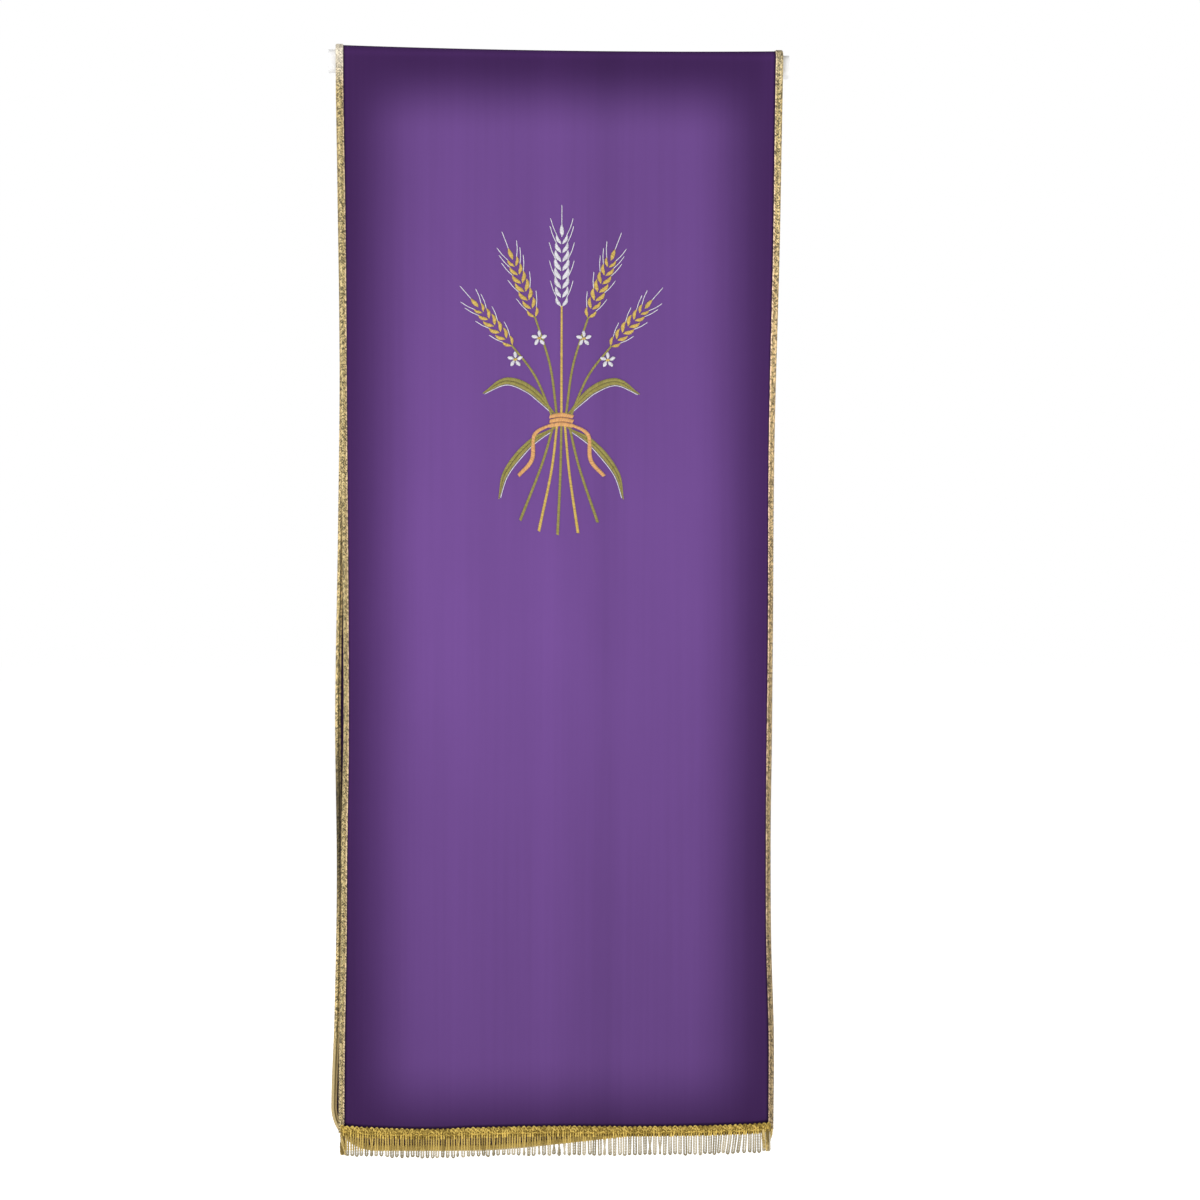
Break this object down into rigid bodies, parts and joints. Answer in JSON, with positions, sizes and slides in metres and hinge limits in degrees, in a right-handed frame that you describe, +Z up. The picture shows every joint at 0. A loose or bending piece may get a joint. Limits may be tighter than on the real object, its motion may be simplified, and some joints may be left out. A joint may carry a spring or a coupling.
{
  "type": "lectern cover and hanging bar",
  "caption": "Long purple cloth cover hung over a square bar: gold-bound edges, embroidered upper front, gold fringe across the front hem, rounded back corners.",
  "frame": {"origin": "centre of the bar's flat underside, half way along the bar and half way between the front and back panels", "axes": "+X along the bar towards the viewer's right, -Y towards the front (the fringed panel), +Z up, away from the bar's underside"},
  "size_m": [0.518, 0.0419, 1.251],
  "materials": {
    "bar_paint": "wooden bar painted white, satin",
    "cloth": "plain woven purple cloth, matt, with satin-stitch embroidery in gold, olive, peach and silver-white",
    "binding": "knitted metallic-yarn tape, khaki gold, soft sheen",
    "fringe": "twisted looped metallic-yarn strands under a crocheted mustard-gold heading"
  },
  "bodies": {
    "root": {"hanging_bar": "bar_paint", "cloth": "cloth", "edge_binding": "binding", "front_fringe": "fringe"}
  },
  "joints": []
}
